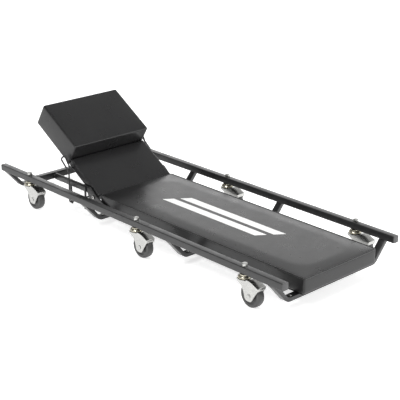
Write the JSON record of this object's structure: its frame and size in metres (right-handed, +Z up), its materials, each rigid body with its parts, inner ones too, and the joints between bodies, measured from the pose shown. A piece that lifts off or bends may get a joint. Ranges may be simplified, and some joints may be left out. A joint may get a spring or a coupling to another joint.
{
  "type": "mechanics creeper",
  "caption": "Low padded mechanics creeper: square-tube side rails on swivel casters, dropped vinyl pad, and a tilting headrest held by a swinging wire prop.",
  "frame": {"origin": "on the floor under the middle of the rails, at the centre of the bounding box's base", "axes": "+X along the rails from the headrest to the foot end, +Y to the far rail, +Z up"},
  "size_m": [1.16, 0.448, 0.29],
  "materials": {
    "black_paint": "satin",
    "black_vinyl": "satin",
    "black_board": "matte",
    "black_plastic": "satin",
    "wheel_plastic": "satin",
    "bright_zinc": "satin",
    "yellow_zinc": "satin"
  },
  "bodies": {
    "frame": {"rail_near": "black_paint", "rail_cap_near_head": "black_plastic", "rail_cap_near_foot": "black_plastic", "rail_far": "black_paint", "rail_cap_far_head": "black_plastic", "rail_cap_far_foot": "black_plastic", "cross_strap_1": "black_paint", "cross_strap_2": "black_paint", "cross_strap_3": "black_paint", "cross_strap_4": "black_paint", "head_cross_bar": "black_paint", "side_plate_near": "black_paint", "prop_bracket_near": "black_paint", "side_plate_far": "black_paint", "prop_bracket_far": "black_paint", "hinge_bolt_near": "bright_zinc", "hinge_bolt_far": "bright_zinc", "base_board": "black_board", "main_pad": "black_vinyl", "caster_near_head_stem": "bright_zinc", "caster_near_head_nut": "bright_zinc", "caster_near_head_race": "yellow_zinc", "caster_near_middle_stem": "bright_zinc", "caster_near_middle_nut": "bright_zinc", "caster_near_middle_race": "yellow_zinc", "caster_near_foot_stem": "bright_zinc", "caster_near_foot_nut": "bright_zinc", "caster_near_foot_race": "yellow_zinc", "caster_far_head_stem": "bright_zinc", "caster_far_head_nut": "bright_zinc", "caster_far_head_race": "yellow_zinc", "caster_far_middle_stem": "bright_zinc", "caster_far_middle_nut": "bright_zinc", "caster_far_middle_race": "yellow_zinc", "caster_far_foot_stem": "bright_zinc", "caster_far_foot_nut": "bright_zinc", "caster_far_foot_race": "yellow_zinc"},
    "headrest": {"headrest_board": "black_board", "back_pad": "black_vinyl", "head_cushion": "black_vinyl"},
    "prop": {"prop_bail": "black_paint"},
    "caster_near_head_swivel": {"caster_near_head_fork": "bright_zinc", "caster_near_head_axle": "bright_zinc"},
    "caster_near_head_roller": {"caster_near_head_wheel": "wheel_plastic"},
    "caster_near_middle_swivel": {"caster_near_middle_fork": "bright_zinc", "caster_near_middle_axle": "bright_zinc"},
    "caster_near_middle_roller": {"caster_near_middle_wheel": "wheel_plastic"},
    "caster_near_foot_swivel": {"caster_near_foot_fork": "bright_zinc", "caster_near_foot_axle": "bright_zinc"},
    "caster_near_foot_roller": {"caster_near_foot_wheel": "wheel_plastic"},
    "caster_far_head_swivel": {"caster_far_head_fork": "bright_zinc", "caster_far_head_axle": "bright_zinc"},
    "caster_far_head_roller": {"caster_far_head_wheel": "wheel_plastic"},
    "caster_far_middle_swivel": {"caster_far_middle_fork": "bright_zinc", "caster_far_middle_axle": "bright_zinc"},
    "caster_far_middle_roller": {"caster_far_middle_wheel": "wheel_plastic"},
    "caster_far_foot_swivel": {"caster_far_foot_fork": "bright_zinc", "caster_far_foot_axle": "bright_zinc"},
    "caster_far_foot_roller": {"caster_far_foot_wheel": "wheel_plastic"}
  },
  "joints": [
    {"name": "headrest_tilt", "type": "hinge", "parent": "frame", "child": "headrest", "pos_m": [-0.22445, 0, 0.07074], "axis": [0, 1, 0], "range_deg": [-17, 0]},
    {"name": "prop_swing", "type": "hinge", "parent": "headrest", "child": "prop", "pos_m": [-0.32507, 0, 0.1324], "axis": [0, 1, 0], "range_deg": [-27.9, 0]},
    {"name": "caster_near_head_swivels", "type": "hinge", "parent": "frame", "child": "caster_near_head_swivel", "pos_m": [-0.4429, -0.2065, 0.0657], "axis": [0, 0, 1], "continuous": true},
    {"name": "caster_near_head_rolls", "type": "hinge", "parent": "caster_near_head_swivel", "child": "caster_near_head_roller", "pos_m": [-0.4154, -0.2065, 0.03175], "axis": [0, 1, 0], "continuous": true},
    {"name": "caster_near_middle_swivels", "type": "hinge", "parent": "frame", "child": "caster_near_middle_swivel", "pos_m": [0.0442, -0.2065, 0.0657], "axis": [0, 0, 1], "continuous": true},
    {"name": "caster_near_middle_rolls", "type": "hinge", "parent": "caster_near_middle_swivel", "child": "caster_near_middle_roller", "pos_m": [0.0717, -0.2065, 0.03175], "axis": [0, 1, 0], "continuous": true},
    {"name": "caster_near_foot_swivels", "type": "hinge", "parent": "frame", "child": "caster_near_foot_swivel", "pos_m": [0.4472, -0.2065, 0.0657], "axis": [0, 0, 1], "continuous": true},
    {"name": "caster_near_foot_rolls", "type": "hinge", "parent": "caster_near_foot_swivel", "child": "caster_near_foot_roller", "pos_m": [0.4747, -0.2065, 0.03175], "axis": [0, 1, 0], "continuous": true},
    {"name": "caster_far_head_swivels", "type": "hinge", "parent": "frame", "child": "caster_far_head_swivel", "pos_m": [-0.4429, 0.2065, 0.0657], "axis": [0, 0, 1], "continuous": true},
    {"name": "caster_far_head_rolls", "type": "hinge", "parent": "caster_far_head_swivel", "child": "caster_far_head_roller", "pos_m": [-0.4154, 0.2065, 0.03175], "axis": [0, 1, 0], "continuous": true},
    {"name": "caster_far_middle_swivels", "type": "hinge", "parent": "frame", "child": "caster_far_middle_swivel", "pos_m": [-0.0342, 0.2065, 0.0657], "axis": [0, 0, 1], "continuous": true},
    {"name": "caster_far_middle_rolls", "type": "hinge", "parent": "caster_far_middle_swivel", "child": "caster_far_middle_roller", "pos_m": [-0.0067, 0.2065, 0.03175], "axis": [0, 1, 0], "continuous": true},
    {"name": "caster_far_foot_swivels", "type": "hinge", "parent": "frame", "child": "caster_far_foot_swivel", "pos_m": [0.4472, 0.2065, 0.0657], "axis": [0, 0, 1], "continuous": true},
    {"name": "caster_far_foot_rolls", "type": "hinge", "parent": "caster_far_foot_swivel", "child": "caster_far_foot_roller", "pos_m": [0.4747, 0.2065, 0.03175], "axis": [0, 1, 0], "continuous": true}
  ],
  "couplings": [
    {"joint": "prop_swing", "follows": "headrest_tilt", "ratio": 1.6393}
  ]
}
